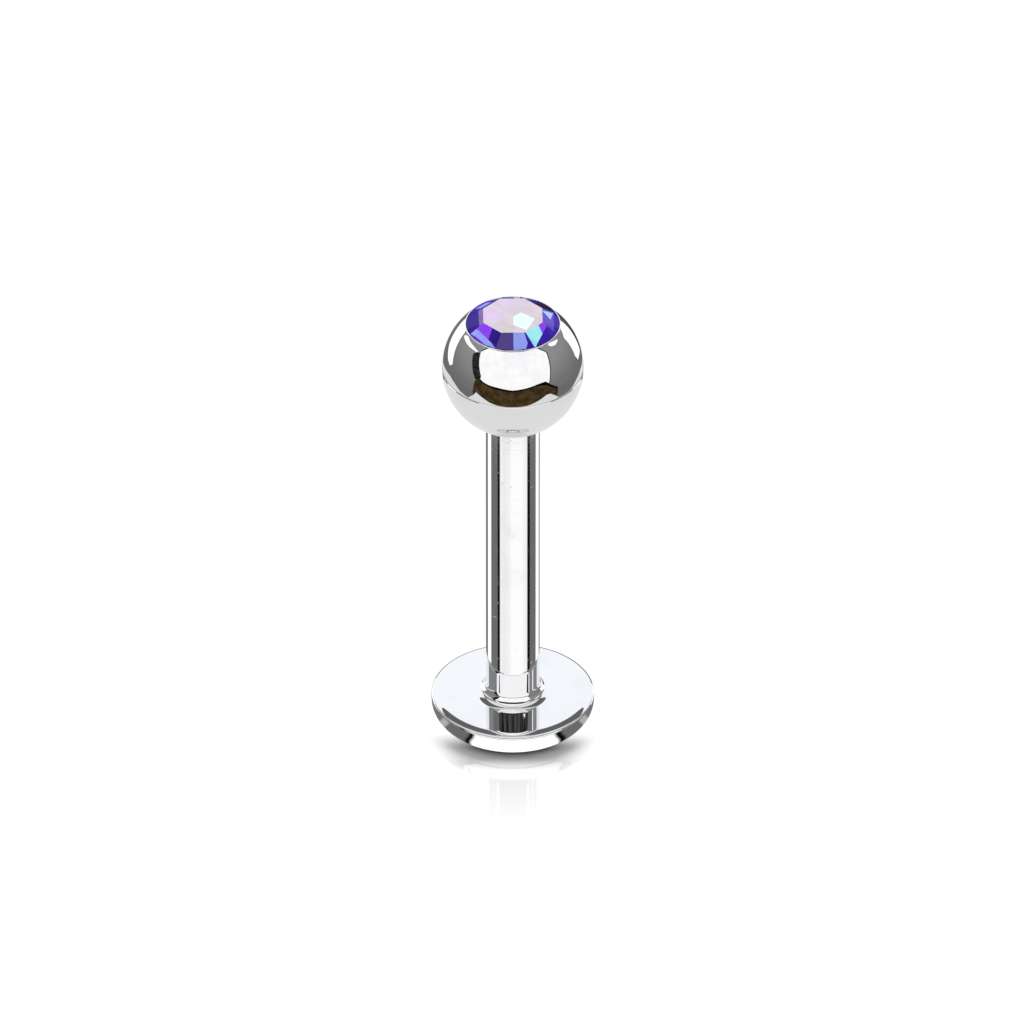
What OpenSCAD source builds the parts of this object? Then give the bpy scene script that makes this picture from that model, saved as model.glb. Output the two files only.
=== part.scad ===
// A labret stud: a post with a flat disc, and a ball with a set stone that screws onto the post.
// The shaft stands along +Z, and the origin is the centre of the disc's underside. Millimetres.

/* [Post] */
// Diameter of the shaft (14 gauge)
shaft_dia = 1.6; // [1.5:0.05:1.8]
// Length of shaft seen between the disc and the lowest point of the ball
shaft_len = 9.7; // [6:0.1:16]
// Radius of the fillet where the shaft meets the disc
foot_fillet = 0.35; // [0.1:0.05:0.5]

/* [Disc] */
// Diameter of the disc
disc_dia = 4.86; // [4.4:0.02:6]
// Thickness of the disc
disc_thick = 0.84; // [0.76:0.02:1.4]
// Radius of the small round at the disc's upper edge
rim_top_round = 0.15; // [0.05:0.01:0.18]
// Radius of the large round at the disc's lower edge
rim_under_round = 0.57; // [0.3:0.01:0.57]

/* [Thread] */
// Distance from one crest to the next
thread_pitch = 0.35; // [0.3:0.01:0.4]
// Depth of the thread, from crest to root
thread_depth = 0.15; // [0.12:0.01:0.18]
// Width of the flat on each crest
crest_flat = 0.06; // [0.04:0.01:0.08]
// Angle between the two flanks of the thread
flank_angle = 60; // [50:1:62]
// How far the crests stay inside the shaft's radius
crest_inset = 0.03; // [0.02:0.01:0.06]
// Number of turns from the first full section to the domed tip
thread_turns = 2.6; // [2:0.1:3.2]
// Height of the first full turn over the shoulder
neck_len = 0.3; // [0.24:0.02:0.4]
// Angle over which the ridge grows at its foot and fades at the tip
run_out = 120; // [60:15:180]

/* [Ball] */
// Diameter of the ball
ball_dia = 4.2; // [4.1:0.1:6]
// Width of the flat metal rim round the stone
rim_width = 0.032; // [0.02:0.002:0.1]
// How much wider than the shaft the countersink is, on each side
sink_extra = 0.08; // [0.06:0.01:0.15]
// Angle of the drill point at the bottom of the threaded hole
drill_angle = 118; // [110:1:140]

/* [Gem] */
// Diameter of the stone at its girdle
gem_dia = 2.752; // [2.2:0.002:3]
// Width of the table from corner to corner
table_dia = 1.9; // [1.3:0.02:2.2]
// Height of the crown, from the girdle to the table
crown_height = 0.28; // [0.2:0.01:0.4]
// Height of the girdle below the middle of each crown facet
girdle_height = 0.08; // [0.05:0.01:0.12]
// Depth of the stone below the girdle
pavilion_depth = 1; // [0.8:0.02:1.15]
// Number of facets round the crown and round the point below
facet_count = 8; // [8:1:12]
// Angle by which the stone is turned in its setting
gem_turn = 1; // [-22.5:0.5:22.5]
// Height of the girdle's lower edge over the metal rim
girdle_lift = 0; // [-0.02:0.01:0.04]

/* [Fit] */
// Clearance round the stone
gem_gap = 0.02; // [0.01:0.005:0.05]
// Clearance between the flanks of the two threads
flank_gap = 0.02; // [0.01:0.005:0.03]
// Radial clearance at the crests and at the roots of the thread
thread_gap = 0.04; // [0.02:0.005:0.05]
// Clearance between the shoulder and the countersink
seat_gap = 0.03; // [0.02:0.005:0.05]
// Clearance over the domed tip
tip_gap = 0.04; // [0.02:0.01:0.08]

/* [Hidden] */
$fn = 96;
section_step = 15;                                // angle from one section of a thread to the next
sunk = 0.05;                                      // how deep a ridge starts inside what it stands on
over = 1;                                         // length by which a cutting body passes a surface

shaft_r = shaft_dia / 2;
disc_r = disc_dia / 2;
ball_r = ball_dia / 2;
gem_r = gem_dia / 2;

crest_r = shaft_r - crest_inset;
root_r = crest_r - thread_depth;
bore_r = root_r + thread_gap;                     // inner radius of the threaded hole
groove_r = crest_r + thread_gap;                  // outer radius of the groove in the ball
sink_r = shaft_r + sink_extra;
pocket_r = gem_r + gem_gap;
rim_r = pocket_r + rim_width;

ball_z = disc_thick + shaft_len + ball_r;         // the ball's centre
mouth_z = ball_z - sqrt(ball_r * ball_r - sink_r * sink_r);
rim_z = ball_z + sqrt(ball_r * ball_r - rim_r * rim_r);
seat_shift = seat_gap * sqrt(2);                  // the seat's clearance, measured along the axis
shoulder_z = mouth_z + sink_extra - seat_shift;   // upper end of the full shaft
neck_z = shoulder_z + shaft_r - root_r;           // upper end of the shoulder's chamfer
thread_z = shoulder_z + neck_len;                 // the ridge's middle where it is first full
dome_z = thread_z + thread_turns * thread_pitch;  // centre of the domed tip

// Sections of the thread, counted from its first full one.
turn_steps = 360 / section_step;
fade_steps = ceil(run_out / section_step);
last_step = ceil(thread_turns * turn_steps);
groove_fade = 3;                                  // sections over which the groove in the ball fades
groove_more = 4;                                  // sections by which it passes the ridge's end
mouth_turns = (thread_z - mouth_z) / thread_pitch + 1 / 2;
mouth_step = -groove_fade - ceil(mouth_turns * turn_steps);

girdle_z = rim_z + girdle_lift;
crown_z = girdle_z + girdle_height;
table_z = crown_z + crown_height;
half_facet = 180 / facet_count;                   // from a facet's middle to its edge

// The lower edge's round takes what the upper edge's round leaves of the disc.
under_r = min(rim_under_round, disc_thick - rim_top_round);

// Half the width of the ridge at radius r, with a clearance added to each flank.
function half_width(r, gap) =
    crest_flat / 2 + (crest_r - r) * tan(flank_angle / 2) + gap / cos(flank_angle / 2);

// One section of the ridge at angle a from the first full section: inner side, outer side.
function section(a, inner_r, outer_r, gap) = [
    for (corner = [[inner_r, -1], [outer_r, -1], [outer_r, 1], [inner_r, 1]])
        [corner[0] * cos(a), corner[0] * sin(a),
         thread_z + thread_pitch * a / 360 + corner[1] * half_width(corner[0], gap)]
];

// How much of its height the ridge has at a section: it grows and fades over the given sections.
function fullness(i, count, fade) = max(0, min(1, i / fade, (count - i) / fade));

// A right-hand ridge wound round the axis, between two sections counted from the first full one.
module helix(first, last, fade, inner_r, outer_r, gap) {
    count = last - first;
    low_r = inner_r + sunk / 2;
    rings = [
        for (i = [0:count])
            let (r = low_r + (outer_r - low_r) * fullness(i, count, fade))
                section((first + i) * section_step, inner_r, r, gap)
    ];
    sides = [
        for (i = [0:count - 1], j = [0:3])
            let (k = (j + 1) % 4)
                each [
                    [4 * i + j, 4 * i + k, 4 * i + 4 + j],
                    [4 * i + k, 4 * i + 4 + k, 4 * i + 4 + j]
                ]
    ];
    ends = [[3, 2, 1, 0], [4 * count, 4 * count + 1, 4 * count + 2, 4 * count + 3]];
    polyhedron([for (ring = rings) each ring], concat(sides, ends));
}

// A quarter of a round: the corner nearest to the axis direction given by sx and sy.
module quarter(r, sx, sy) {
    intersection() {
        circle(r);
        translate([min(0, sx * r), min(0, sy * r)]) square(r);
    }
}

module disc_outline() {
    square([disc_r - under_r, disc_thick]);
    translate([disc_r - under_r, under_r]) quarter(under_r, 1, -1);
    translate([0, under_r]) square([disc_r - rim_top_round, disc_thick - under_r]);
    translate([0, under_r]) square([disc_r, disc_thick - rim_top_round - under_r]);
    translate([disc_r - rim_top_round, disc_thick - rim_top_round]) quarter(rim_top_round, 1, 1);
}

module foot_outline() {
    translate([0, disc_thick])
        difference() {
            square([shaft_r + foot_fillet, foot_fillet]);
            translate([shaft_r + foot_fillet, foot_fillet]) circle(foot_fillet);
        }
}

module shaft_outline() {
    square([shaft_r, shoulder_z]);
    polygon([[0, shoulder_z], [shaft_r, shoulder_z], [root_r, neck_z], [0, neck_z]]);
    translate([0, neck_z]) square([root_r, dome_z - neck_z]);
    translate([0, dome_z]) quarter(root_r, 1, 1);
}

module labret_post() {
    color("silver") {
        rotate_extrude() {
            disc_outline();
            foot_outline();
            shaft_outline();
        }
        helix(-fade_steps, last_step, fade_steps, root_r - sunk, crest_r, 0);
    }
}

// The drilled hole with its countersink, and the groove that the thread runs in.
module thread_hole() {
    drill_z = dome_z + (root_r + tip_gap) / sin(drill_angle / 2);
    rotate_extrude()
        polygon([
            [0, mouth_z - over],
            [sink_r + over, mouth_z - over],
            [bore_r, mouth_z + sink_r - bore_r],
            [bore_r, drill_z - bore_r / tan(drill_angle / 2)],
            [0, drill_z]
        ]);
    helix(mouth_step, last_step + groove_more, groove_fade, bore_r - sunk, groove_r, flank_gap);
}

// The stone's pocket: a straight wall round the girdle, and a cone that the lower facets lie in.
module gem_pocket() {
    slope = pavilion_depth * cos(half_facet) / gem_r;
    point_z = girdle_z - pavilion_depth - gem_gap * sqrt(1 + slope * slope);
    rotate_extrude()
        polygon([
            [0, point_z],
            [pocket_r, point_z + slope * pocket_r],
            [pocket_r, rim_z + over],
            [0, rim_z + over]
        ]);
}

module ball() {
    color("gainsboro")
        difference() {
            translate([0, 0, ball_z]) sphere(ball_r);
            translate([0, 0, rim_z]) cylinder(r = ball_r, h = ball_r);
            gem_pocket();
            thread_hole();
        }
}

module gem() {
    crown_r = gem_r / cos(half_facet);
    color("slateblue")
        translate([0, 0, girdle_z])
            rotate(gem_turn + half_facet)
                intersection() {
                    translate([0, 0, -pavilion_depth])
                        cylinder(r = gem_r, h = table_z - girdle_z + pavilion_depth);
                    union() {
                        translate([0, 0, -pavilion_depth])
                            cylinder(r1 = 0, r2 = crown_r, h = pavilion_depth, $fn = facet_count);
                        cylinder(r = crown_r, h = girdle_height, $fn = facet_count);
                        translate([0, 0, girdle_height])
                            cylinder(r1 = crown_r, r2 = table_dia / 2, h = crown_height, $fn = facet_count);
                    }
                }
}

labret_post();
ball();
gem();
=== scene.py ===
import math

import bmesh
import bpy
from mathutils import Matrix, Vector


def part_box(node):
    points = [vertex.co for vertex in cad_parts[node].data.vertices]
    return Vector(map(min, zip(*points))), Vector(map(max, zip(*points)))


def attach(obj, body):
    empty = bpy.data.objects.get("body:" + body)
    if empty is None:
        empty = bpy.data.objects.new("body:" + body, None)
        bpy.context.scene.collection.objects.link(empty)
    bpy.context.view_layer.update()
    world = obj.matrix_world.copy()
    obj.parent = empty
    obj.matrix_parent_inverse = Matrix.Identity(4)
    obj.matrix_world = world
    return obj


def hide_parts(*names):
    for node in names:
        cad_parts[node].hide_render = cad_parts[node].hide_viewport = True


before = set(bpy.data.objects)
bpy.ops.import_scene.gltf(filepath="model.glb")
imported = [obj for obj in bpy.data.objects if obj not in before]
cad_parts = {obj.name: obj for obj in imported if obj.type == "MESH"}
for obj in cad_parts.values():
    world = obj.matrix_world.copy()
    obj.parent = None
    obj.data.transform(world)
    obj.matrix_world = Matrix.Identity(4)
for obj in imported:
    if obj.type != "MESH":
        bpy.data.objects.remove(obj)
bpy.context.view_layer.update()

mm = 0.001                  # pieces are shaped in millimetres and brought to metres when they are done
mergeDistance = 3e-4        # in mm, for points that lie on each other where pieces are joined and cut
pickDistance = 2e-3         # in mm, for points that are picked by the place where they should be


def boxInMm(node):
    low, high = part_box(node)
    return low / mm, high / mm


postHigh = boxInMm("labret_post")[1]
ballLow, ballHigh = boxInMm("ball")
gemLow, gemHigh = boxInMm("gem")


# Small helpers for modelling

def clearSelection():
    if bpy.context.mode != "OBJECT":
        bpy.ops.object.mode_set(mode="OBJECT")
    bpy.ops.object.select_all(action="DESELECT")


def startPiece(name, primitive, **settings):
    # a primitive at its size and place, to be shaped further
    clearSelection()
    primitive(**settings)
    bpy.ops.object.transform_apply(location=True, rotation=True, scale=True)
    made = bpy.context.object
    made.name = made.data.name = name
    return made


def editOnly(piece, kind="FACE"):
    clearSelection()
    piece.select_set(True)
    bpy.context.view_layer.objects.active = piece
    bpy.ops.object.mode_set(mode="EDIT")
    bpy.ops.mesh.select_mode(type=kind)
    bpy.ops.mesh.select_all(action="DESELECT")


def pickFaces(piece, test):
    shape = bmesh.from_edit_mesh(piece.data)
    for face in shape.faces:
        face.select = test(face.calc_center_median(), face.normal)
    shape.select_flush_mode()
    bmesh.update_edit_mesh(piece.data)


def pickEdges(piece, test):
    bpy.ops.mesh.select_mode(type="EDGE")
    shape = bmesh.from_edit_mesh(piece.data)
    for edge in shape.edges:
        edge.select = all(test(v.co) for v in edge.verts)
    shape.select_flush_mode()
    bmesh.update_edit_mesh(piece.data)


def radiusOf(point):
    return math.hypot(point.x, point.y)


def near(a, b):
    return abs(a - b) < pickDistance


def onAxis(point, height):
    return radiusOf(point) < 0.01 and near(point.z, height)


def pushFace(rise, widthRatio=1):
    # the picked face goes up by rise, and is then made wider or narrower
    bpy.ops.mesh.extrude_region_move(TRANSFORM_OT_translate={"value": (0, 0, rise)})
    if widthRatio != 1:
        bpy.ops.transform.resize(value=(widthRatio, widthRatio, 1), center_override=(0, 0, 0))


def stretchHeight(ratio):
    # before a bevel with a ratio and after it with the inverse: the round gets wider than it is high
    bpy.ops.mesh.select_all(action="SELECT")
    bpy.ops.transform.resize(value=(1, 1, ratio), center_override=(0, 0, 0))


def pushToPoint(rise):
    # the picked face ends in a point on the axis
    bpy.ops.mesh.extrude_region_move(TRANSFORM_OT_translate={"value": (0, 0, rise)})
    bpy.ops.mesh.merge(type="CENTER")


def bevelRing(piece, radius, height, size, steps):
    pickEdges(piece, lambda p: near(radiusOf(p), radius) and near(p.z, height))
    bpy.ops.mesh.bevel(offset=size, segments=steps, profile=0.5, affect="EDGES", clamp_overlap=False)


def combine(piece, tool, how):
    clearSelection()
    piece.select_set(True)
    bpy.context.view_layer.objects.active = piece
    bpy.ops.object.modifier_add(type="BOOLEAN")
    cut = piece.modifiers[-1]
    cut.operation = how
    cut.solver = "EXACT"
    cut.object = tool
    bpy.ops.object.modifier_apply(modifier=cut.name)
    bpy.data.objects.remove(tool)


def putInOrder(piece):
    # a Boolean leaves points and faces in an order that differs from run to run
    way = Vector((1, 0.618, 0.414))
    shape = bmesh.from_edit_mesh(piece.data)
    shape.verts.sort(key=lambda v: v.co.dot(way))
    shape.edges.sort(key=lambda e: (e.verts[0].co + e.verts[1].co).dot(way))
    shape.faces.sort(key=lambda f: f.calc_center_median().dot(way))
    bmesh.update_edit_mesh(piece.data)


def finishPiece(piece, smoothAngle):
    # closed, facing outwards, at its real size, with its place in its mesh
    editOnly(piece)
    putInOrder(piece)
    bpy.ops.mesh.select_all(action="SELECT")
    bpy.ops.mesh.remove_doubles(threshold=mergeDistance)
    bpy.ops.mesh.normals_make_consistent(inside=False)
    clearSelection()
    piece.select_set(True)
    bpy.context.view_layer.objects.active = piece
    bpy.ops.object.shade_smooth_by_angle(angle=math.radians(smoothAngle))
    # still in millimetres, because it can't weigh faces as small as these are in metres
    bpy.ops.object.modifier_add(type="WEIGHTED_NORMAL")
    piece.modifiers[-1].keep_sharp = True
    bpy.ops.object.modifier_apply(modifier=piece.modifiers[-1].name)
    bpy.ops.transform.resize(value=(mm, mm, mm), center_override=(0, 0, 0))
    bpy.ops.object.transform_apply(location=True, rotation=True, scale=True)
    piece.select_set(False)


# Small helpers for materials

def addNode(tree, kind, inputs=None, **settings):
    made = tree.nodes.new(kind)
    for name, value in settings.items():
        setattr(made, name, value)
    for name, value in (inputs or {}).items():
        if isinstance(value, bpy.types.NodeSocket):
            tree.links.new(value, made.inputs[name])
        else:
            made.inputs[name].default_value = value
    return made


def newMaterial(name):
    made = bpy.data.materials.new(name)
    made.use_nodes = True
    made.node_tree.nodes.clear()
    return made, made.node_tree


def maths(tree, what, first, second=0.0):
    return addNode(tree, "ShaderNodeMath", {0: first, 1: second}, operation=what).outputs[0]


def remap(tree, value, fromLow, fromHigh, toLow, toHigh, kind="SMOOTHSTEP"):
    inputs = {"Value": value, "From Min": fromLow, "From Max": fromHigh, "To Min": toLow, "To Max": toHigh}
    return addNode(tree, "ShaderNodeMapRange", inputs, interpolation_type=kind).outputs["Result"]


def mixColours(tree, share, first, second):
    # each colour is the output of a node, or red, green and blue
    mixer = addNode(tree, "ShaderNodeMix", {0: share}, data_type="RGBA")
    for place, colour in ((6, first), (7, second)):
        if isinstance(colour, bpy.types.NodeSocket):
            tree.links.new(colour, mixer.inputs[place])
        else:
            mixer.inputs[place].default_value = (*colour, 1)
    return mixer.outputs[2]


def grey(value):
    return value, value, value


def inMillimetres(tree, turn=(0, 0, 0), stretch=(1, 1, 1)):
    # object coordinates in millimetres, turned and stretched for streaks
    place = addNode(tree, "ShaderNodeTexCoord").outputs["Object"]
    inputs = {"Vector": place, "Rotation": [math.radians(a) for a in turn], "Scale": [s / mm for s in stretch]}
    return addNode(tree, "ShaderNodeMapping", inputs).outputs["Vector"]


def noise(tree, place, scale, detail=2.0, roughness=0.5):
    inputs = {"Vector": place, "Scale": scale, "Detail": detail, "Roughness": roughness}
    return addNode(tree, "ShaderNodeTexNoise", inputs).outputs["Fac"]


def partOf(tree, vector, axis):
    return addNode(tree, "ShaderNodeSeparateXYZ", {"Vector": vector}).outputs[axis]


def vectorMaths(tree, what, inputs, result="Vector"):
    return addNode(tree, "ShaderNodeVectorMath", inputs, operation=what).outputs[result]


def flattened(tree, place):
    # the place without its height
    return vectorMaths(tree, "MULTIPLY", {0: place, 1: (1, 1, 0)})


def rayPath(tree, what):
    return addNode(tree, "ShaderNodeLightPath").outputs[what]


# The thread, which the post and the ball share

thread = {
    "pitch": 0.35,
    "rootR": 0.62,
    "crestR": 0.77,
    "crestFlat": 0.06,      # width of the flat on each crest
    "flankAngle": 60,       # between the two flanks
    "turns": 2.6,           # from the first full turn to the domed tip
    "neck": 0.30,           # from the shoulder to the first full turn
    "rootGap": 0.04,        # how much wider the ball's hole is than the post's thread
    "flankGap": 0.02,
    "sunk": 0.05,           # how deep the ridge starts inside what it stands on
    "grows": (-0.16, -0.02),    # heights over which it grows, from the first full turn
    "fades": (-0.10, 0.09),     # heights over which it fades, from the domed tip's centre
    "stepsPerTurn": 96,
}
tipZ = postHigh.z
domeZ = tipZ - thread["rootR"]
threadZ = domeZ - thread["turns"] * thread["pitch"]
shoulderZ = threadZ - thread["neck"]


def windThread(name, innerR, outerR, gap, turnsBelow, turnsAbove):
    # one section of the ridge is drawn beside the axis and wound up round it
    halfFlat = thread["crestFlat"] / 2
    slope = math.tan(math.radians(thread["flankAngle"] / 2))
    widen = gap / math.cos(math.radians(thread["flankAngle"] / 2))
    halfAt = lambda r: halfFlat + (thread["crestR"] - r) * slope + widen
    ridge = startPiece(name, bpy.ops.mesh.primitive_plane_add, size=1, rotation=(math.radians(90), 0, 0))
    startZ = threadZ - turnsBelow * thread["pitch"]
    for corner in ridge.data.vertices:
        r = outerR if corner.co.x > 0 else innerR
        corner.co = (r, 0, startZ + math.copysign(halfAt(r), corner.co.z))
    editOnly(ridge)
    bpy.ops.mesh.select_all(action="SELECT")
    bpy.ops.mesh.delete(type="ONLY_FACE")
    bpy.ops.object.mode_set(mode="OBJECT")
    bpy.ops.object.modifier_add(type="SCREW")
    turns = turnsBelow + turnsAbove
    wind = ridge.modifiers[-1]
    wind.angle = 2 * math.pi * turns
    wind.screw_offset = thread["pitch"] * turns
    wind.steps = wind.render_steps = round(thread["stepsPerTurn"] * turns)
    bpy.ops.object.modifier_apply(modifier=wind.name)
    editOnly(ridge, "VERT")
    bpy.ops.mesh.select_all(action="SELECT")
    bpy.ops.mesh.fill_holes(sides=4)
    bpy.ops.mesh.select_all(action="SELECT")
    bpy.ops.mesh.normals_make_consistent(inside=False)
    bpy.ops.object.mode_set(mode="OBJECT")
    return ridge


# The post: a disc with a rounded rim, the shaft on it and the threaded end

post = {
    "shaftR": 0.8,
    "discR": postHigh.x,
    "discThick": 0.84,
    "topRound": (0.28, 0.12),   # width and height of the round at the disc's upper edge
    "underRound": 0.57,
    "footFillet": 0.35,
    "edge": 0.015,          # the small polished round on the shoulder's corners
    "tipShare": 0.995,      # how much of the shaft's radius there the domed tip's round takes
    "guard": 0.03,          # from the rounds at the shaft's ends to the ring of edges beside them
    "sides": 192,
}


def ridgeLimit():
    # a turned shape that the ridge is trimmed to, so that it grows at the neck and fades at the tip
    innerR, outerR = thread["rootR"] - 0.04, thread["crestR"] + 0.05     # clear of the root and the crest
    growFrom, growTo = (threadZ + height for height in thread["grows"])
    fadeFrom, fadeTo = (domeZ + height for height in thread["fades"])
    stub = 0.1              # height of the cylinder that the shape starts from
    limit = startPiece("ridgeLimit", bpy.ops.mesh.primitive_cylinder_add, vertices=post["sides"],
                       radius=innerR, depth=stub, location=(0, 0, growFrom - stub / 2))
    editOnly(limit)
    pickFaces(limit, lambda p, n: n.z > 0.5)
    pushFace(growTo - growFrom, outerR / innerR)
    pushFace(fadeFrom - growTo)
    pushFace(fadeTo - fadeFrom, innerR / outerR)
    bpy.ops.object.mode_set(mode="OBJECT")
    return limit


def makePost():
    discR, shaftR, rootR, thick = post["discR"], post["shaftR"], thread["rootR"], post["discThick"]
    body = startPiece("polished_post", bpy.ops.mesh.primitive_cylinder_add, vertices=post["sides"],
                      radius=discR, depth=thick, location=(0, 0, thick / 2))
    editOnly(body)
    roundWide, roundHigh = post["topRound"]
    stretchHeight(roundWide / roundHigh)
    bevelRing(body, discR, thick * roundWide / roundHigh, roundWide, 12)
    stretchHeight(roundHigh / roundWide)
    bevelRing(body, discR, 0, post["underRound"], 16)
    bpy.ops.mesh.select_mode(type="FACE")
    pickFaces(body, lambda p, n: onAxis(p, thick))
    pushFace(0, shaftR / (discR - roundWide))
    # rings close to the shaft's ends keep its long faces truly straight in reflections
    pushFace(post["footFillet"] + post["guard"])
    pushFace(shoulderZ - thick - post["footFillet"] - 2 * post["guard"])
    pushFace(post["guard"])
    pushFace(shaftR - rootR, rootR / shaftR)
    pushFace(tipZ - shoulderZ - (shaftR - rootR))
    bevelRing(body, rootR, tipZ, rootR * post["tipShare"], 14)
    bevelRing(body, shaftR, thick, post["footFillet"], 12)
    bevelRing(body, shaftR, shoulderZ, post["edge"], 3)
    bpy.ops.object.mode_set(mode="OBJECT")
    ridge = windThread("ridge", rootR - thread["sunk"], thread["crestR"], gap=0,
                       turnsBelow=1, turnsAbove=thread["turns"] + 0.4)
    combine(ridge, ridgeLimit(), "INTERSECT")
    combine(body, ridge, "UNION")
    finishPiece(body, smoothAngle=35)
    return body


# The ball: a pocket for the stone above, and the threaded hole below

ball = {
    "r": ballHigh.x,
    "mouthZ": ballLow.z,
    "rimZ": ballHigh.z,
    "rimWidth": 0.032,
    "lipHeight": 0.03,      # how far the edge stands up round the stone
    "lipOuterRound": 0.0105,
    "lipInnerRound": 0.004,
    "gemGap": 0.02,
    "sinkR": 0.88,          # the countersink, where it meets the ball's surface
    "drillAngle": 118,
    "tipGap": 0.04,         # clearance over the post's domed tip
    "mouthRound": 0.012,
    "sides": 256,
}


def makeBall():
    boreR = thread["rootR"] + thread["rootGap"]
    ballZ = ball["mouthZ"] + math.sqrt(ball["r"] ** 2 - ball["sinkR"] ** 2)
    body = startPiece("polished_ball", bpy.ops.mesh.primitive_uv_sphere_add, segments=ball["sides"],
                      ring_count=ball["sides"] // 2, radius=ball["r"], location=(0, 0, ballZ))

    # the flat rim and the pocket
    editOnly(body)
    bpy.ops.mesh.select_all(action="SELECT")
    bpy.ops.mesh.bisect(plane_co=(0, 0, ball["rimZ"]), plane_no=(0, 0, 1), use_fill=True, clear_outer=True)
    bpy.ops.mesh.select_mode(type="FACE")
    pickFaces(body, lambda p, n: onAxis(p, ball["rimZ"]))
    rimR = math.sqrt(ball["r"] ** 2 - (ball["rimZ"] - ballZ) ** 2)
    lipR = rimR - ball["rimWidth"]
    pushFace(ball["lipHeight"])
    lipZ = ball["rimZ"] + ball["lipHeight"]
    pushFace(0, lipR / rimR)
    pushFace(gem["girdleZ"] - ball["gemGap"] - lipZ)
    pushToPoint(gemLow.z - gem["girdleZ"])

    # the countersink, the hole and its drill point
    bpy.ops.mesh.select_mode(type="FACE")
    bpy.ops.mesh.select_all(action="SELECT")
    bpy.ops.mesh.bisect(plane_co=(0, 0, ball["mouthZ"]), plane_no=(0, 0, -1), use_fill=True, clear_outer=True)
    bpy.ops.mesh.select_mode(type="FACE")
    pickFaces(body, lambda p, n: onAxis(p, ball["mouthZ"]))
    sink = ball["sinkR"] - boreR
    halfDrill = math.radians(ball["drillAngle"] / 2)
    drillZ = domeZ + (thread["rootR"] + ball["tipGap"]) / math.sin(halfDrill)
    boreTop = drillZ - boreR / math.tan(halfDrill)
    pushFace(sink, boreR / ball["sinkR"])
    pushFace(boreTop - ball["mouthZ"] - sink)
    pushToPoint(drillZ - boreTop)
    bevelRing(body, rimR, lipZ, ball["lipOuterRound"], 4)
    bevelRing(body, lipR, lipZ, ball["lipInnerRound"], 2)
    bevelRing(body, ball["sinkR"], ball["mouthZ"], ball["mouthRound"], 3)
    bpy.ops.object.mode_set(mode="OBJECT")
    groove = windThread("groove", boreR - thread["sunk"], thread["crestR"] + thread["rootGap"],
                        thread["flankGap"], turnsBelow=2, turnsAbove=thread["turns"] + 0.2)
    combine(body, groove, "DIFFERENCE")
    finishPiece(body, smoothAngle=30)
    return body


# The stone, cut facet by facet from a round blank

gem = {
    "r": gemHigh.x,
    "tableZ": gemHigh.z - 0.035,    # the crown is a little lower than in the CAD
    "crownZ": ballHigh.z + 0.035,   # the crown facets' lower edge, level with the steel edge round the stone
    "girdleZ": ballHigh.z,
    "tableR": 0.95,         # from the middle to a corner of the table
    "facets": 8,
    "turn": 1,              # degrees
    "sides": 192,
}
facetAngle = 360 // gem["facets"]

# linear colours laid on the stone's faces: its violet body colour, and painted reflections of the light that
# its facets and coating throw back
stoneColoursAndReflections = {
    "pinkGrey": (0.600, 0.535, 0.600),
    "iceCyan": (0.700, 0.900, 0.895),
    "skyCyan": (0.340, 0.840, 0.890),
    "indigo": (0.024, 0.005, 0.230),
    "deepBlue": (0.036, 0.007, 0.360),
    "violet": (0.260, 0.050, 0.900),
    "brightViolet": (0.140, 0.030, 0.800),
    "midViolet": (0.110, 0.070, 0.500),
    "greyViolet": (0.082, 0.053, 0.245),
    "mauve": (0.190, 0.130, 0.360),
    "periwinkle": (0.290, 0.360, 0.900),
    "paleBlue": (0.380, 0.560, 0.920),
    "plum": (0.012, 0.002, 0.035),
    "lilacWhite": (0.620, 0.550, 0.790),
}

# what each facet shows before it is divided, body colour and painted reflection, by its azimuth (0 at the
# front, growing to the right)
facetColoursAndReflections = {0: "greyViolet", 45: "deepBlue", 90: "midViolet", 135: "plum", 180: "deepBlue",
              225: "deepBlue", 270: "indigo", 315: "violet"}

# Each row divides one colour of one facet by a line and gives its right side another colour, a painted
# reflection or the body colour.
# On a facet a point is (mm to the right, share of the way from the table to the girdle).
facetCuts = [
    # azimuth, from, to, divided colour, colour to the right of the line
    (0, (0.00, 1.0), (0.00, 0.0), "greyViolet", "periwinkle"),
    (0, (0.42, 0.55), (0.32, 0.0), "periwinkle", "deepBlue"),
    (0, (0.34, 1.1), (0.42, 0.55), "periwinkle", "deepBlue"),
    (45, (-0.43, 0.93), (-0.36, 0.0), "deepBlue", "skyCyan"),
    (45, (-0.43, 0.93), (0.09, 0.52), "skyCyan", "deepBlue"),
    (45, (0.09, 0.52), (0.18, 0.0), "skyCyan", "violet"),
    (45, (0.09, 0.52), (0.38, 0.36), "violet", "deepBlue"),
    (90, (-0.03, 0.48), (0.24, 0.0), "midViolet", "paleBlue"),
    (90, (-0.03, 0.48), (0.38, 0.65), "paleBlue", "midViolet"),
    (90, (0.38, 0.65), (0.24, 0.0), "paleBlue", "midViolet"),
    (90, (-0.6, 0.66), (0.6, 0.70), "midViolet", "deepBlue"),
    (180, (-0.23, 1.0), (-0.23, 0.0), "deepBlue", "lilacWhite"),
    (180, (-0.06, 1.0), (-0.06, 0.0), "lilacWhite", "deepBlue"),
    (135, (0.12, 1.0), (0.02, 0.0), "plum", "indigo"),
    (225, (-0.5, 0.20), (0.5, 0.36), "deepBlue", "periwinkle"),
    (225, (-0.5, 0.66), (0.5, 0.76), "periwinkle", "deepBlue"),
    (225, (-0.15, 0.0), (-0.10, 1.0), "periwinkle", "deepBlue"),
    (225, (0.32, 1.0), (0.28, 0.0), "periwinkle", "deepBlue"),
    (270, (0.5, 0.24), (-0.5, 0.28), "indigo", "mauve"),
    (315, (-0.515, 0.41), (0.474, 0.78), "violet", "periwinkle"),
    (315, (-0.572, 0.75), (0.346, 1.02), "periwinkle", "brightViolet"),
    (315, (0.161, 0.68), (0.01, 0.0), "violet", "indigo"),
]
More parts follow.
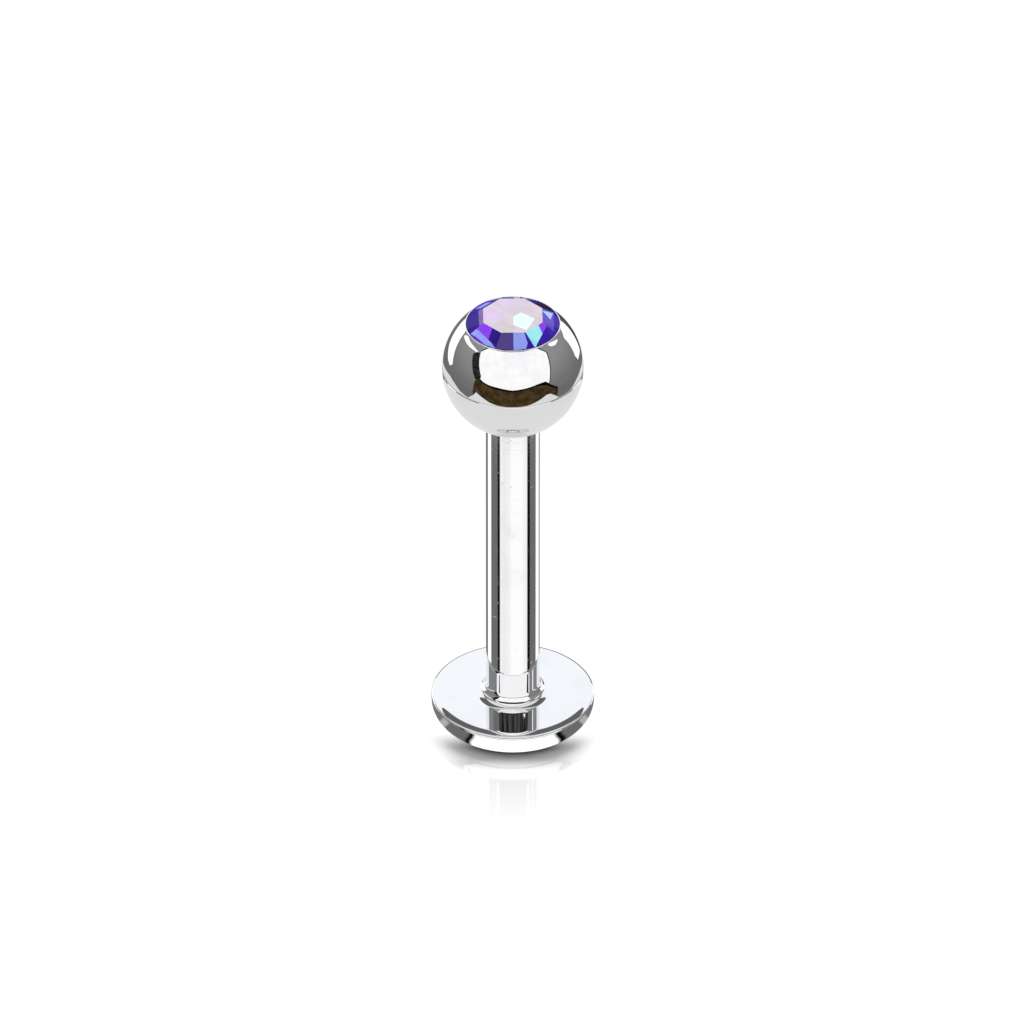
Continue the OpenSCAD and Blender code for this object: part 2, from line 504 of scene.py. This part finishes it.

# The same on the table, whose pale pink-grey and ice cyan are painted reflections; there a point is (x, y) in
# mm
tableCuts = [
    ((0.02, -0.90), (0.02, 0.90), "pinkGrey", "iceCyan"),
    ((0.65, -0.16), (0.24, 0.16), "iceCyan", "pinkGrey"),
    ((0.41, -0.75), (0.65, -0.16), "iceCyan", "pinkGrey"),
    ((0.02, -0.48), (0.41, -0.75), "iceCyan", "pinkGrey"),
    ((0.24, 0.16), (0.02, -0.05), "iceCyan", "pinkGrey"),
]


def isTable(normal):
    return normal.z > 0.99


def isCrown(normal):
    return 0.2 < normal.z < 0.99


def facetPoint(azimuth, point):
    # from a facet's own coordinates to plan
    inner = gem["tableR"] * math.cos(math.pi / gem["facets"])
    a = math.radians(azimuth + gem["turn"])
    out, side = Vector((math.sin(a), -math.cos(a))), Vector((math.cos(a), math.sin(a)))
    return side * point[0] + out * (inner + point[1] * (gem["r"] - inner))


def facesAndTints(stone):
    shape = bmesh.from_edit_mesh(stone.data)
    return shape, shape.faces.layers.int["tint"]


def paintFacetColoursAndReflections(stone):
    # each face gets one of the listed colours: body colour or painted reflection
    names = list(stoneColoursAndReflections)
    stone.data.attributes.new("tint", "INT", "FACE")
    editOnly(stone)
    shape, layer = facesAndTints(stone)

    def azimuthOf(face):
        middle = face.calc_center_median()
        return math.degrees(math.atan2(middle.x, -middle.y)) - gem["turn"]

    for face in shape.faces:
        tint = "indigo"
        if isTable(face.normal):
            tint = "pinkGrey"
        elif isCrown(face.normal):
            tint = facetColoursAndReflections[round(azimuthOf(face) / facetAngle) * facetAngle % 360]
        face[layer] = names.index(tint)
    bmesh.update_edit_mesh(stone.data)

    def cutColour(isFacet, start, end, before, after):
        # only the faces of one colour on one facet are cut
        across = Vector((end.y - start.y, start.x - end.x, 0)).normalized()
        shape, layer = facesAndTints(stone)
        mine = lambda f: isFacet(f) and f[layer] == names.index(before)
        for face in shape.faces:
            face.select = mine(face)
        shape.select_flush_mode()
        bmesh.update_edit_mesh(stone.data)
        bpy.ops.mesh.bisect(plane_co=(start.x, start.y, 0), plane_no=across)
        shape, layer = facesAndTints(stone)
        for face in shape.faces:
            middle = face.calc_center_median() - Vector((start.x, start.y, 0))
            if mine(face) and middle.dot(across) > 0:
                face[layer] = names.index(after)
        bmesh.update_edit_mesh(stone.data)
        bpy.ops.mesh.select_mode(type="FACE")
        bpy.ops.mesh.select_all(action="DESELECT")

    for azimuth, start, end, before, after in facetCuts:
        away = lambda f: abs((azimuthOf(f) - azimuth + 180) % 360 - 180)
        own = lambda f: isCrown(f.normal) and away(f) < facetAngle / 2
        cutColour(own, facetPoint(azimuth, start), facetPoint(azimuth, end), before, after)
    for start, end, before, after in tableCuts:
        cutColour(lambda f: isTable(f.normal), Vector(start), Vector(end), before, after)
    bpy.ops.object.mode_set(mode="OBJECT")


def cutStone(stone, azimuth, r, z, tilt, up):
    # grinds a flat whose middle passes through radius r and height z
    out = Vector((math.cos(azimuth), math.sin(azimuth), 0))
    bpy.ops.mesh.select_all(action="SELECT")
    bpy.ops.mesh.bisect(plane_co=out * r + Vector((0, 0, z)),
                        plane_no=out * math.sin(tilt) + Vector((0, 0, up * math.cos(tilt))),
                        use_fill=True, clear_outer=True)


def makeGem():
    count, r = gem["facets"], gem["r"]
    halfFacet = math.pi / count
    crown = gem["tableZ"] - gem["crownZ"]
    stone = startPiece("cut_stone", bpy.ops.mesh.primitive_cylinder_add, vertices=gem["sides"], radius=r,
                       depth=gem["tableZ"] - gemLow.z, location=(0, 0, (gem["tableZ"] + gemLow.z) / 2))
    editOnly(stone)
    crownTilt = math.atan2(crown, r - gem["tableR"] * math.cos(halfFacet))
    cornerTilt = math.atan2(crown, r - gem["tableR"])
    pointTilt = math.atan2(gem["girdleZ"] - gemLow.z, r)
    for k in range(count):
        azimuth = math.radians(gem["turn"]) + 2 * k * halfFacet
        cutStone(stone, azimuth, r, gem["crownZ"], crownTilt, 1)
        cutStone(stone, azimuth + halfFacet, r, gem["crownZ"], cornerTilt, 1)
        cutStone(stone, azimuth, r, gem["girdleZ"], pointTilt, -1)
    # the corner facets are halved, so that each half goes with its neighbour when colours are laid
    for k in range(count // 2):
        azimuth = math.radians(gem["turn"]) + (2 * k + 1) * halfFacet
        pickFaces(stone, lambda p, n: isCrown(n))
        bpy.ops.mesh.bisect(plane_co=(0, 0, 0), plane_no=(-math.sin(azimuth), math.cos(azimuth), 0))
    bpy.ops.object.mode_set(mode="OBJECT")
    paintFacetColoursAndReflections(stone)
    finishPiece(stone, smoothAngle=4)
    return stone


bodyPiece, ballPiece, gemPiece = makePost(), makeBall(), makeGem()
print("pieces are made:", [len(p.data.polygons) for p in (bodyPiece, ballPiece, gemPiece)])


# Steel: turned and mirror polished, with the fine rings and hair scratches that polishing leaves

steel = {
    "tint": (0.83, 0.83, 0.84),
    "tintWorn": (0.78, 0.785, 0.80),
    "smooth": 0.02,         # roughness where the polish is best
    "hazy": 0.045,          # roughness in the faint polishing haze
    "hazePerMm": 0.9,
    "hazeNoise": (0.45, 0.8),       # values of the noise where the haze starts and is full
    "ringsPerMm": 9,
    "ringRelief": 0.22,     # share of the relief's depth
    "scratchesPerMm": 3,
    "scratchStretch": 0.05,         # how fast the noise changes along the scratches, against across them
    "scratchNoise": (0.66, 0.72),
    "scratchTurns": ((0, 0, 23), (64, 0, 118)),     # of the two sets, in degrees
    "secondSet": 1.3,       # how much closer the second set's scratches lie
    "scratches": 0.4,       # share of the relief's depth, and how hazy they are
    "reliefDepth": 4e-7,    # in metres
    "reliefStrength": 0.6,
}


def turnedCoordinates(tree):
    # (distance from the axis, 0, height), in millimetres: noise on these makes rings
    place = inMillimetres(tree)
    radius = vectorMaths(tree, "LENGTH", {0: flattened(tree, place)}, "Value")
    return addNode(tree, "ShaderNodeCombineXYZ", {"X": radius, "Z": partOf(tree, place, "Z")}).outputs["Vector"]


def hairScratches(tree, settings, turn, density):
    # long thin lines in one direction: 1 on a line, 0 beside it
    place = inMillimetres(tree, turn, (density, density * settings["scratchStretch"], density))
    return remap(tree, noise(tree, place, 1.0, detail=3.0, roughness=0.6), *settings["scratchNoise"], 0, 1)


def polishedSteel(name, settings):
    material, tree = newMaterial(name)
    rings = noise(tree, turnedCoordinates(tree), settings["ringsPerMm"])
    haze = noise(tree, inMillimetres(tree), settings["hazePerMm"], detail=3.0, roughness=0.6)
    density, scratches = settings["scratchesPerMm"], settings["scratches"]
    firstTurn, secondTurn = settings["scratchTurns"]
    lines = maths(tree, "MAXIMUM", hairScratches(tree, settings, firstTurn, density),
                  hairScratches(tree, settings, secondTurn, density * settings["secondSet"]))
    worn = maths(tree, "MAXIMUM", remap(tree, haze, *settings["hazeNoise"], 0, 1),
                 maths(tree, "MULTIPLY", lines, scratches))
    relief = maths(tree, "ADD", maths(tree, "MULTIPLY", rings, settings["ringRelief"]),
                   maths(tree, "MULTIPLY", lines, -scratches))
    bump = addNode(tree, "ShaderNodeBump", {
        "Height": relief, "Strength": settings["reliefStrength"], "Distance": settings["reliefDepth"]})
    shader = addNode(tree, "ShaderNodeBsdfPrincipled", {
        "Base Color": mixColours(tree, worn, settings["tint"], settings["tintWorn"]), "Metallic": 1.0,
        "Roughness": remap(tree, worn, 0, 1, settings["smooth"], settings["hazy"]),
        "Normal": bump.outputs["Normal"]})
    addNode(tree, "ShaderNodeOutputMaterial", {"Surface": shader.outputs["BSDF"]})
    return material


postSteel = polishedSteel("post_mirror_steel", steel)
ballSteel = polishedSteel("ball_mirror_steel", dict(steel, scratchesPerMm=2.2, scratches=0.3))
bodyPiece.data.materials.append(postSteel)
ballPiece.data.materials.append(ballSteel)


# The stone: coated glass, whose facets carry painted reflections, different colours laid on them for the light
# they throw back

stoneLook = {
    "ior": 1.5,
    "shine": 0.1,
    "grainPerMm": 3,
    # two values of the grain's noise, and how bright or how rough the stone is at each
    "grainShade": (0.25, 0.75, 0.93, 1.05),
    "grainRough": (0.3, 0.8, 0.01, 0.05),
    # soft clouds of painted reflection under the table: place in mm, radius in mm, strength, colour
    "clouds": [
        ((-0.62, 0.05), 0.55, 0.75, (0.670, 0.490, 0.830)),
        ((-0.10, 0.62), 0.45, 0.60, (0.640, 0.500, 0.790)),
        ((-0.15, -0.62), 0.55, 0.70, (0.540, 0.480, 0.445)),
    ],
}


def coatedStoneWithPaintedReflections(settings):
    material, tree = newMaterial("coated_stone_painted_reflections")
    patch = addNode(tree, "ShaderNodeAttribute", attribute_name="patch").outputs
    flat = flattened(tree, inMillimetres(tree))
    colour = patch["Color"]
    # the clouds lay painted reflections on the table's faces, which the patch's alpha marks
    for place, radius, strength, tint in settings["clouds"]:
        away = vectorMaths(tree, "DISTANCE", {0: flat, 1: (*place, 0)}, "Value")
        share = maths(tree, "MULTIPLY", remap(tree, away, 0, radius, strength, 0), patch["Alpha"])
        colour = mixColours(tree, share, colour, tint)
    grain = noise(tree, inMillimetres(tree), settings["grainPerMm"], detail=3.0)
    shade = remap(tree, grain, *settings["grainShade"])
    shader = addNode(tree, "ShaderNodeBsdfPrincipled", {
        "Base Color": vectorMaths(tree, "SCALE", {0: colour, "Scale": shade}),
        "Roughness": remap(tree, grain, *settings["grainRough"]),
        "IOR": settings["ior"], "Specular IOR Level": settings["shine"]})
    addNode(tree, "ShaderNodeOutputMaterial", {"Surface": shader.outputs["BSDF"]})
    return material


gemPiece.data.materials.append(coatedStoneWithPaintedReflections(stoneLook))
# each face's listed colour, body colour or painted reflection, goes to its corners; alpha 1 marks the table for
# the painted clouds
patches = gemPiece.data.color_attributes.new(name="patch", type="FLOAT_COLOR", domain="CORNER")
tintOf = gemPiece.data.attributes["tint"].data
for face in gemPiece.data.polygons:
    name = list(stoneColoursAndReflections)[tintOf[face.index].value]
    for corner in face.loop_indices:
        patches.data[corner].color = (*stoneColoursAndReflections[name], 1 if name == "pinkGrey" else 0)


# What the pieces stand for and ride on

for piece, node, rider, slot in ((bodyPiece, "labret_post", "post", "post_steel"),
                                 (ballPiece, "ball", "ball_end", "ball_steel"),
                                 (gemPiece, "gem", "ball_end", "stone")):
    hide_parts(node)
    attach(piece, rider)
print("materials are set")


# The studio: a white room, with cards that only the polished steel and the stone see

studio = {
    "hub": Vector((0, 0, 0.0126)),      # the ball's centre, which the cards stand round
    "white": 1.3,
    "softWhite": (1.11, 1.19),  # the soft box, at its darkest and its brightest
    "softAgain": 1.3,           # the soft box for a ray that was mirrored twice, as at the shaft's foot
    "lightGrey": 0.85,
    "greyLow": 0.17,            # the dim room, below and above the horizon
    "greyHigh": 0.31,
    "horizon": (-30, 30),       # degrees between which one goes over into the other
    "lowSky": (-36, -34),       # degrees below which the room is light grey
    "black": 0.004,
    "roomLight": (0.05, 0.9),   # what the floor gets, from the horizon and from overhead
    "backdrop": 1.2,
    "boxDistance": 0.30,
    "cardCorner": 0.05,         # the round at a flat card's corners, as a share of its distance
    "columnStep": 4,            # degrees from one column of a curtain to the next, at most
    "spotNoise": (0.35, 0.65),  # values of the noise between which one card colour goes over into the other
    # lengths of rays in mm, which tell a card what sees it
    "rimSees": (3, 5),          # the near ring: the disc's rim up to the first, the ball from the second on
    "footSees": (10.4, 11.0),   # the dark screen: the ball up to the first, the shaft's foot from the second on
    "screenMiddle": (9.4, 10.2),    # mm to each side, where the dark screen's middle ends
}


def towards(azimuth, elevation):
    # azimuth 0 points to the camera and grows to its right
    a, e = math.radians(azimuth), math.radians(elevation)
    return Vector((math.sin(a) * math.cos(e), -math.cos(a) * math.cos(e), math.sin(e)))


def setGlow(material, colour, forFloor):
    # light for mirrors: what the floor gets from it, by way of the steel, is a plain grey
    tree = material.node_tree
    toFloor = maths(tree, "MINIMUM", rayPath(tree, "Diffuse Depth"), 1.0)
    glow = addNode(tree, "ShaderNodeEmission", {"Color": mixColours(tree, toFloor, colour, grey(forFloor))})
    addNode(tree, "ShaderNodeOutputMaterial", {"Surface": glow.outputs["Emission"]})
    material.cycles.emission_sampling = "NONE"


def seenFrom(tree, shortest, longest):
    # 0 for a ray up to the shortest length, 1 from the longest on
    return remap(tree, rayPath(tree, "Ray Length"), shortest * mm, longest * mm, 0, 1)


def cardSurface(name, colour, second=None, grain=1.0, afar=None, again=None):
    # one colour, or two that are mottled into each other with the given number of spots to a millimetre
    material, tree = newMaterial(name)
    shade = colour
    if second:
        mottle = noise(tree, inMillimetres(tree), grain, detail=4.0, roughness=0.6)
        spots = remap(tree, mottle, *studio["spotNoise"], 0, 1)
        shade = mixColours(tree, spots, colour, second)
    if afar:
        # the shaft's foot sees two greys instead in the middle
        side = maths(tree, "ABSOLUTE", partOf(tree, inMillimetres(tree), "X"))
        share = maths(tree, "MULTIPLY", seenFrom(tree, *studio["footSees"]),
                      remap(tree, side, *studio["screenMiddle"], 1, 0))
        shade = mixColours(tree, share, shade, mixColours(tree, spots, grey(afar[0]), grey(afar[1])))
    if again:
        # a ray that was mirrored twice sees another grey
        shade = mixColours(tree, remap(tree, rayPath(tree, "Glossy Depth"), 1, 2, 0, 1), shade, grey(again))
    setGlow(material, shade, studio["roomLight"][0])
    return material


def asCard(card, material):
    card.data.materials.clear()
    card.data.materials.append(material)
    card.visible_camera = card.visible_diffuse = card.visible_shadow = False
    return card


def flatCard(name, azimuth, elevation, distance, corners, material):
    # a flat card across the given direction; its corners are given as shares of the distance
    forward = towards(azimuth, elevation)
    side = towards(azimuth + 90, 0)
    upward = forward.cross(side)
    card = startPiece(name, bpy.ops.mesh.primitive_circle_add, vertices=len(corners), radius=1,
                      fill_type="NGON")
    for corner, (across, along) in zip(card.data.vertices, corners):
        corner.co = studio["hub"] + distance * (forward + across * side - along * upward)
    editOnly(card, "VERT")
    bpy.ops.mesh.select_all(action="SELECT")
    bpy.ops.mesh.bevel(offset=studio["cardCorner"] * distance, segments=8, affect="VERTICES")
    bpy.ops.object.mode_set(mode="OBJECT")
    return asCard(card, material)


def curtain(name, columns, material):
    # a standing strip, from pairs of points: its lower and its upper edge
    last = len(columns) - 1
    card = startPiece(name, bpy.ops.mesh.primitive_grid_add, x_subdivisions=last, y_subdivisions=1, size=1)
    for corner in card.data.vertices:
        column = columns[round((corner.co.x + 0.5) * last)]
        corner.co = column[1 if corner.co.y > 0 else 0]
    return asCard(card, material)


def skyCurtain(name, distance, rows, material):
    # rows of (azimuth, lowest elevation, highest elevation), seen from the hub and rounded out in between
    columns = []
    for first, second in zip(rows, rows[1:] + rows[-1:]):
        steps = max(1, math.ceil((second[0] - first[0]) / studio["columnStep"]))
        for k in range(steps):
            azimuth, low, high = (p + (q - p) * k / steps for p, q in zip(first, second))
            columns.append([studio["hub"] + distance * towards(azimuth, e) for e in (low, high)])
    return curtain(name, columns, material)


def stripedSurface(name, stops, brightFrom=None):
    # greys by azimuth, as (azimuth, grey) pairs, each held up to the next one
    material, tree = newMaterial(name)
    place = inMillimetres(tree)
    toFront = maths(tree, "MULTIPLY", partOf(tree, place, "Y"), -1.0)
    angle = maths(tree, "ARCTAN2", partOf(tree, place, "X"), toFront)
    ramp = addNode(tree, "ShaderNodeValToRGB", {"Fac": remap(tree, angle, -math.pi, math.pi, 0, 1, "LINEAR")})
    blur = 1.5 / 360        # half of the way from one grey to the next
    points = []
    for k, (azimuth, value) in enumerate(stops):
        start = (azimuth + 180) / 360
        if k:
            points.append((start - blur, stops[k - 1][1]))
        points.append((start + blur if k else 0, value))
    elements = ramp.color_ramp.elements
    while len(elements) < len(points):
        elements.new(0.5)
    for element, (position, value) in zip(elements, points):
        element.position = position
        element.color = (*grey(value), 1)
    colour = ramp.outputs["Color"]
    if brightFrom:
        # black up to the first radius, a painted shade: the dark gap under the disc, as the rim sees it
        # mirrored; the ball, which is farther away than the disc's rim, sees a light grey
        radius = vectorMaths(tree, "LENGTH", {0: flattened(tree, place)}, "Value")
        colour = vectorMaths(tree, "SCALE", {0: colour, "Scale": remap(tree, radius, *brightFrom, 0, 1)})
        colour = mixColours(tree, seenFrom(tree, *studio["rimSees"]), colour, grey(studio["lightGrey"]))
    # by way of the steel the floor gets black from both rings: painted shade under the disc
    setGlow(material, colour, 0)
    return material


softDark, softLight = studio["softWhite"]
boxCard = cardSurface("soft_box_white", grey(softDark), grey(softLight), 0.012, again=studio["softAgain"])
whiteCard = cardSurface("white_card", grey(studio["white"]))
blackCard = cardSurface("black_card", grey(studio["black"]))
mottledCard = cardSurface("mottled_black_card", grey(0.001), grey(0.05), 0.09)
dimCard = cardSurface("dim_card", grey(0.03), grey(0.12), 0.006)
darkCard = cardSurface("dark_grey_card", grey(0.14), again=studio["lightGrey"])
sideCard = cardSurface("side_grey_card", grey(0.2))
lightCard = cardSurface("light_grey_card", grey(studio["lightGrey"]))
rearCard = cardSurface("rear_cool_card", (1.09, 1.12, 1.15))
brownCard = cardSurface("brown_card", (0.085, 0.052, 0.018), (0.034, 0.024, 0.012), 0.55, afar=(0.09, 0.004))

flatCard("soft_box", 0, 35.5, studio["boxDistance"],
         [(-1.53, -0.73), (1.70, -0.73), (2.26, 0.95), (-1.62, 0.95)], boxCard)
flatCard("soft_box_frame", 0, 35.5, studio["boxDistance"] + 0.01,
         [(-1.57, -0.79), (1.83, -0.79), (2.44, 1.0), (-1.66, 1.0)], blackCard)
skyCurtain("dark_wing", 0.35, [
    (-53, -1, 8), (-62.4, -0.3, 20), (-70.5, 8.3, 30), (-76, 15, 34.5), (-80.7, 20, 32),
    (-84.7, 24, 26.5)], mottledCard)
skyCurtain("back_panel_left", 0.5, [
    (-157, -9, 12), (-146, -17.6, 12), (-130, -19.2, 12), (-120.5, -18.3, -2), (-114, -13.5, -12.5)], whiteCard)
skyCurtain("back_panel_right", 0.5, [
    (125.5, -13, 9), (131.7, -20, 9), (141.6, -22.4, 9), (150, -25, 9), (153, -25.3, -8)], whiteCard)
skyCurtain("dark_wing_right", 0.6, [(153, -27, 6), (165, -27, 6), (177, -24, 4)], dimCard)
skyCurtain("rim_card_left", 0.5, [
    (-125, 13, 15.5), (-118, 16, 22), (-95, 26, 30.5), (-81, 31.5, 33.5)], whiteCard)
skyCurtain("rim_card_right", 0.5, [
    (93, 33, 36.5), (97, 29, 36), (103, 25, 31), (113.5, 21.5, 23)], whiteCard)
skyCurtain("rear_panel", 0.6, [
    (126, 23, 41), (140, 13, 41), (150, 4, 41), (165, 1, 41), (180, 0, 41), (195, 1, 41), (210, 4, 41),
    (220, 13, 41), (234, 23, 41)], rearCard)
skyCurtain("rear_dark_ceiling", 0.65, [(118, 41, 81), (180, 41, 81), (242, 41, 81)], darkCard)
skyCurtain("ceiling", 0.7, [
    (-118, 40, 89.9), (-90, 45, 89.9), (-60, 56, 89.9), (0, 70, 89.9), (60, 56, 89.9), (90, 45, 89.9),
    (118, 40, 89.9), (119, 80, 89.9), (241, 80, 89.9)], lightCard)
skyCurtain("light_horizon_left", 0.9, [
    (-180, -34.2, -33.5), (-158, -34.2, -32), (-140, -34.2, -29), (-118, -34.2, -25.5), (-104, -34.2, -27.4),
    (-94, -34.2, -31), (-77, -34.2, -33.3), (-65, -34.2, -26), (-58.5, -34.2, -19.5), (-40, -34.2, -20),
    (0, -34.2, -24)], lightCard)
skyCurtain("light_horizon_right", 0.9, [
    (0, -34.2, -24), (40, -34.2, -20), (57, -34.2, -20.5), (70, -34.2, -28), (80, -34.2, -34),
    (106, -34.2, -34), (113, -34.2, -32.6), (123, -34.2, -30), (138, -34.2, -29), (155, -34.2, -31),
    (180, -34.2, -33.5)], lightCard)

# The dark screen close in front of the stud: azimuth, then radius, lower edge, brown top and black top in mm
screenRows = [
    (-60.5, 12.7, 7.6, 8.4, 8.6), (-58, 12.7, 8.3, 12.0, 12.4), (-54.5, 12.7, 9.2, 14.0, 14.5),
    (-43.4, 11.38, 8.5, 13.1, 13.5), (-34.5, 10.7, 7.85, 12.75, 13.2), (-22, 10.15, 7.45, 12.45, 13.1),
    (0, 9.96, 7.38, 12.28, 12.7), (23.6, 10.15, 7.55, 12.65, 13.1), (32, 10.5, 7.95, 12.9, 13.3),
    (38, 10.8, 8.3, 12.85, 13.4), (49, 11.4, 9.15, 12.15, 13.3), (57, 11.5, 9.05, 11.0, 11.7),
    (68, 12.7, 6.6, 9.1, 9.7), (69.5, 12.7, 6.3, 8.6, 9.3)]


def atRadius(azimuth, radius, height):
    # both in mm, the height from the floor
    return radius * mm * towards(azimuth, 0) + Vector((0, 0, height * mm))


def screenCard(name, behind, top, material):
    # stands the given mm behind the rows' radius and reaches up to one of their two tops
    return curtain(name, [(atRadius(row[0], row[1] + behind, row[2] + 2 * behind),
                           atRadius(row[0], row[1] + behind, row[top])) for row in screenRows], material)


screenCard("dark_screen", 0, 3, brownCard)
screenCard("dark_screen_edge", 0.05, 4, blackCard)

sideScreen = {
    "turns": {"side_screen_left": (-90, -54), "side_screen_right": (54, 90)},
    "steps": 8,
    "r": 12.8,
    "low": 9.4,
    "high": 11.0,
}
for name, (start, end) in sideScreen["turns"].items():
    turns = [start + (end - start) * k / sideScreen["steps"] for k in range(sideScreen["steps"] + 1)]
    curtain(name, [[atRadius(turn, sideScreen["r"], sideScreen[edge]) for edge in ("low", "high")]
                   for turn in turns], sideCard)

# Rings low round the stud, which give the shaft and the disc's rim their upright stripes
ring = {
    "farR": 1,              # the far one in metres
    "farZ": -0.710,
    "farHeight": 0.026,
    "nearR": 3.5,           # the near one in mm, just under the floor
    "nearZ": -0.005,
    # radii in mm up to which the near ring is black, a painted shade under the disc, and from which it is
    # bright
    "nearBright": (1.95, 2.15),
}
black, white = studio["black"], studio["white"]
farStripes = [
    (-180, 0.2), (-135, white), (-107, 0.17), (-69, black), (-57, 1.08), (-46, 1.03), (-28, 1.06), (-16, 1.11),
    (-8, 1.19), (42, 1.12), (54, 1.06), (65, black), (79, 0.17), (117, white), (148, 0.2)]
nearStripes = [
    (-180, 0.2), (-75, 0.5), (-66, 0.17), (-41.5, black), (-36, white), (40, black), (47, 0.17), (70, 0.5),
    (80, 0.2)]
farRing = startPiece("far_striped_ring", bpy.ops.mesh.primitive_cylinder_add, vertices=120, radius=ring["farR"],
                     depth=ring["farHeight"], end_fill_type="NOTHING", location=(0, 0, ring["farZ"]))
asCard(farRing, stripedSurface("far_stripes", farStripes))
nearRing = startPiece("near_striped_ring", bpy.ops.mesh.primitive_circle_add, vertices=96,
                      radius=ring["nearR"] * mm, fill_type="NGON", location=(0, 0, ring["nearZ"] * mm))
asCard(nearRing, stripedSurface("near_stripes", nearStripes, ring["nearBright"]))


# The room: white for the eye, plain light for the floor, and dim greys for reflections

def sineOf(degrees):
    return math.sin(math.radians(degrees))


world = bpy.data.worlds.new("white_room")
bpy.context.scene.world = world
world.use_nodes = True
world.node_tree.nodes.clear()
sky = world.node_tree
height = partOf(sky, addNode(sky, "ShaderNodeTexCoord").outputs["Generated"], "Z")
dimRoom = remap(sky, height, *map(sineOf, studio["horizon"]), studio["greyLow"], studio["greyHigh"])
lowSky = remap(sky, height, *map(sineOf, studio["lowSky"]), 1, 0)
reflected = mixColours(sky, lowSky, dimRoom, grey(studio["lightGrey"]))
toEye = rayPath(sky, "Is Camera Ray")
plain = mixColours(sky, toEye, remap(sky, height, 0, 1, *studio["roomLight"]), grey(studio["backdrop"]))
plainRays = maths(sky, "MAXIMUM", toEye, maths(sky, "MINIMUM", rayPath(sky, "Diffuse Depth"), 1.0))
backdrop = addNode(sky, "ShaderNodeBackground", {"Color": mixColours(sky, plainRays, reflected, plain)})
addNode(sky, "ShaderNodeOutputWorld", {"Surface": backdrop.outputs["Background"]})
world.cycles.sampling_method = "NONE"

sun = {
    "power": 2.3,
    "angle": 40,            # how wide it looks, in degrees
    "tilt": 35,             # degrees from overhead, towards the back
}
bpy.ops.object.light_add(type="SUN")
backLight = bpy.context.object
backLight.name = "back_light"
backLight.data.energy = sun["power"]
backLight.data.angle = math.radians(sun["angle"])
backLight.rotation_euler = (math.radians(-sun["tilt"]), 0, 0)
backLight.visible_glossy = False


# The floor: plain and pale, with a soft shadow under the disc's front and a faint mirror image before it. Only
# in a band there does it take the lamps' light and show its real shadow; elsewhere it glows plain white, a
# painted light that hides its shadow.
# Each pair of numbers is where something starts and where it is full, in mm along Y, and the camera is at -Y.

ground = {
    "r": 1.2,               # in metres
    "grey": 0.92,
    "paintedGlow": 1.02,            # the floor's painted glow: plain white that shows outside the shadow's band and hides any shadow there
    "shadowFront": (-3.1, -2.4),
    "shadowBack": (-1.0, -1.9),
    "gloss": 0.17,
    "glossRough": 0.04,
    "glossFront": (-6.4, -2.6),
    "glossBack": (-2.3, -2.6),
}
floor = startPiece("pale_floor", bpy.ops.mesh.primitive_circle_add, vertices=96, radius=ground["r"],
                   fill_type="NGON")
material, tree = newMaterial("pale_floor")
forward = partOf(tree, inMillimetres(tree), "Y")
# 1 in the band where the floor takes the lamps' light and shows its real shadow; outside it the painted glow
# shows
shadowed = maths(tree, "MULTIPLY", remap(tree, forward, *ground["shadowFront"], 0, 1),
                 remap(tree, forward, *ground["shadowBack"], 0, 1))
glossy = maths(tree, "MULTIPLY", remap(tree, forward, *ground["glossFront"], 0, ground["gloss"]),
               remap(tree, forward, *ground["glossBack"], 0, 1))
# painted light: an emission that makes the floor glow white outside the band, so that no shadow shows there
paintedGlow = addNode(tree, "ShaderNodeEmission", {"Color": (*grey(ground["paintedGlow"]), 1)})
dull = addNode(tree, "ShaderNodeBsdfDiffuse", {"Color": (*grey(ground["grey"]), 1)})
mirror = addNode(tree, "ShaderNodeBsdfGlossy", {"Color": (1, 1, 1, 1), "Roughness": ground["glossRough"]})
pale = addNode(tree, "ShaderNodeMixShader", {0: shadowed, 1: paintedGlow.outputs["Emission"], 2: dull.outputs["BSDF"]})
whole = addNode(tree, "ShaderNodeMixShader", {0: glossy, 1: pale.outputs["Shader"], 2: mirror.outputs["BSDF"]})
addNode(tree, "ShaderNodeOutputMaterial", {"Surface": whole.outputs["Shader"]})
floor.data.materials.append(material)
floor.visible_glossy = False


# The camera, at the photograph's angle with a long lens

shot = {
    "aim": Vector((-0.0000238, 0, 0.007357)),
    "elevation": 35.5,
    "width": 0.03048,       # of what it sees, in metres
    "lens": 1000,
    "sensor": 36,
    "clip": (0.05, 10),
    "bounces": 16,
    "mirrorBounces": 8,
}
bpy.ops.object.camera_add()
camera = bpy.context.object
camera.name = "camera"
camera.data.lens = shot["lens"]
camera.data.sensor_width = shot["sensor"]
camera.data.clip_start, camera.data.clip_end = shot["clip"]
away = shot["width"] * shot["lens"] / shot["sensor"]
camera.location = shot["aim"] + away * towards(0, shot["elevation"])
camera.rotation_euler = (math.radians(90 - shot["elevation"]), 0, 0)
scene = bpy.context.scene
scene.camera = camera
scene.view_settings.view_transform = "Standard"
scene.cycles.max_bounces = shot["bounces"]
scene.cycles.glossy_bounces = shot["mirrorBounces"]
print("studio is set")
